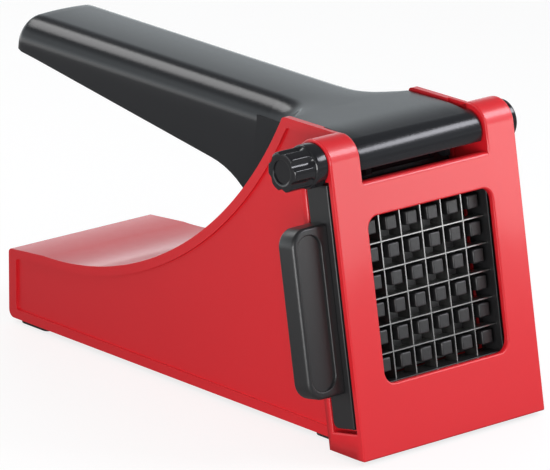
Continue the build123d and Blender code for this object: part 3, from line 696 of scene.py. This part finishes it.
# ---- Blade cartridge ----
# A satin black moulding that slides into the frame from the left: the ring with saw cuts for the
# blades, the end plate that fills the slot, and the pull grip with an oval recess in its face. A
# thin frame in the same black is screwed on behind and keeps the blades in.
cartridge_front, cartridge_low, cut_half = 4.2, 13.9, 0.3
blade_front, blade_reach = 7.25, 39.35
grip_front, grip_rear = 7.4, 17.6
satin = Finish("satin_black_moulding", IOR=1.5, Specular_IOR_Level=0.65)
satin_grain = satin.noise(800.0)
satin_flow = satin.noise(20.0)
satin.give(
    Base_Color=satin.mix(satin_flow, (0.013, 0.013, 0.014, 1), (0.018, 0.018, 0.019, 1)),
    Roughness=satin_grain * 0.1 + 0.33,
    Normal=satin.bump(satin_grain, 0.12, 0.0002),
)
ring = block((-48.6, cartridge_front, cartridge_low), (40.5, 15.25, 112.6))
opening = block((-window_half, 0, window_low), (window_half, 30, window_high))
combine(ring, opening)
for step in range(-2, 3):
    x, z = step * pitch, grid_middle + step * pitch
    level_cut = block((-blade_reach, blade_front, z - cut_half), (blade_reach, 30, z + cut_half))
    combine(ring, level_cut)
    upright_cut = block((x - cut_half, blade_front, 27.25), (x + cut_half, 30, 105.95))
    combine(ring, upright_cut)
soften(ring, 0.4, 2)
end_plate = block((-frame_half, cartridge_front, cartridge_low), (-48.5, 17.45, 120.0))
round_edges(end_plate, lambda m, d: abs(d.x) > 0.9 and m.z < 14 and m.y > 17, 3.0)
soften(end_plate, 0.5)
grip = block((-73.2, grip_front, 29.5), (-53.4, grip_rear, 103.6))
round_edges(grip, lambda m, d: abs(d.y) > 0.9 and m.x < -73, 8.0, 12)
for face in (grip_front, grip_rear):
    round_edges(grip, lambda m, d: m.x < -54 and abs(m.y - face) < 0.05, 1.6, 5)
recess = block((-71.0, 0, 32.9), (-57.5, 8.6, 100.2))
round_edges(recess, lambda m, d: abs(d.y) > 0.9, 6.4, 12)
combine(grip, recess)
soften(grip, 0.5)
pick(end_plate, grip, ring)
bpy.ops.object.join()
face_lamp_reach.objects.link(ring)
settle(ring, "cartridge_with_grip", "base", satin, ["cartridge_frame"], leaning=True)
dress(nodes["blade_retainer"], satin)

# ---- Blades ----
# Ten thin strips of stainless steel, five upright and five level, halved into each other, with
# ground edges towards the potato. Their ends sit in the cartridge's saw cuts.
steel = Finish("blade_steel", Metallic=1.0)
steel_streaks = steel.add("Mapping", None, {"Vector": steel.place(), "Scale": (40, 900, 40)})
steel_grain = steel.noise(1.0, 3.0, steel_streaks)
steel.give(
    Base_Color=steel.mix(steel_grain, (0.34, 0.34, 0.335, 1), (0.44, 0.44, 0.43, 1)),
    Roughness=steel_grain * 0.2 + 0.25,
)
for name in [f"blade_{way}{number}" for way in "vh" for number in range(1, 6)]:
    dress(nodes[name], steel)
    face_lamp_reach.objects.link(nodes[name])

# ---- Axle, screws, insert and feet ----
# A steel axle with a glossy black head on its right end runs through both ears and the hub. Plated
# screws hold the mouldings together, a brass sleeve lines the knob and a small black disc closes
# its end, and soft black pads stand under the housing.
gloss = Finish("gloss_black_moulding", IOR=1.5)
gloss_grain = gloss.noise(500.0)
gloss.give(
    Base_Color=gloss.mix(gloss.noise(25.0), (0.014, 0.014, 0.016, 1), (0.02, 0.02, 0.022, 1)),
    Roughness=gloss_grain * 0.06 + 0.13,
    Normal=gloss.bump(gloss_grain, 0.05, 0.0002),
)
plated = Finish("plated_steel", Metallic=1.0)
plated_grain = plated.noise(600.0, 3.0)
plated.give(
    Base_Color=plated.mix(plated_grain, (0.55, 0.55, 0.55, 1), (0.68, 0.68, 0.68, 1)),
    Roughness=plated_grain * 0.2 + 0.2,
)
brass = Finish("brass_insert", Metallic=1.0)
brass_grain = brass.noise(600.0, 3.0)
brass.give(
    Base_Color=brass.mix(brass_grain, (0.66, 0.48, 0.18, 1), (0.78, 0.6, 0.28, 1)),
    Roughness=brass_grain * 0.2 + 0.2,
)
rubber = Finish("foot_rubber")
rubber_grain = rubber.noise(900.0, 3.0)
rubber.give(
    Base_Color=rubber.mix(rubber_grain, (0.012, 0.012, 0.012, 1), (0.024, 0.024, 0.024, 1)),
    Roughness=rubber_grain * 0.15 + 0.7,
    Normal=rubber.bump(rubber_grain, 0.3, 0.0003),
)
for name in ("axle_head", "knob_cap"):
    dress(nodes[name], gloss)
for name in ("axle_rod", "frame_screws", "pusher_screws", "retainer_screws"):
    dress(nodes[name], plated)
dress(nodes["knob_insert"], brass)
for name in ("foot_front_left", "foot_front_right", "foot_rear_left", "foot_rear_right"):
    dress(nodes[name], rubber)

# ---- Clamping knob ----
# A glossy black moulding with six finger grooves round its grip, a flange against the left ear and
# a shallow recess in its end. It screws onto the axle by its brass sleeve.
knob_outer, grip_end, flange_end = 8.9, -71.7, -59.9
groove_centre, groove_radius, groove_length, groove_pitch = 10.4, 3.0, 12.0, math.pi / 3
profile = [(-53.8, 9.4), (-53.9, 9.7), (-58.6, 9.7), (-59.3, 9.55), (-59.75, 9.2), (-59.9, 8.75)]
profile += [(-60.0, 8.6)] + [(-60.2 - step * 0.5, knob_outer) for step in range(21)]
for degrees in range(0, 91, 15):
    turn = math.radians(degrees)
    profile.append((grip_end + 1.0 - math.sin(turn), knob_outer - 1.0 + math.cos(turn)))
profile += [(grip_end, 6.6), (grip_end, 5.6), (-71.5, 5.3), (-70.8, 5.3), (-70.8, 3.0), (-70.8, 0.6)]


def knob_radius(x, radius, turn):
    """The knob's radius at one place, less the finger groove that passes there."""
    near = turn % groove_pitch - groove_pitch / 2
    past_stop = max(0.0, x - (grip_end + groove_length - groove_radius))
    reach = math.sqrt(max(groove_radius**2 - past_stop**2, 0.0))
    side = groove_centre * math.sin(near)
    if reach <= abs(side) or x > flange_end:
        return radius
    return min(radius, groove_centre * math.cos(near) - math.sqrt(reach**2 - side**2))


around = 144
rings = []
for x, outer in profile:
    ring = []
    for column in range(around + 1):
        turn = 2 * math.pi * column / around
        radius = knob_radius(x, outer, turn)
        ring.append((x, axle_y - radius * math.cos(turn), axle_z + radius * math.sin(turn)))
    rings.append(ring)
knob = skin_over(rings)
smooth(knob, 55)
settle(knob, "clamping_knob", "knob", gloss, ["knob"])
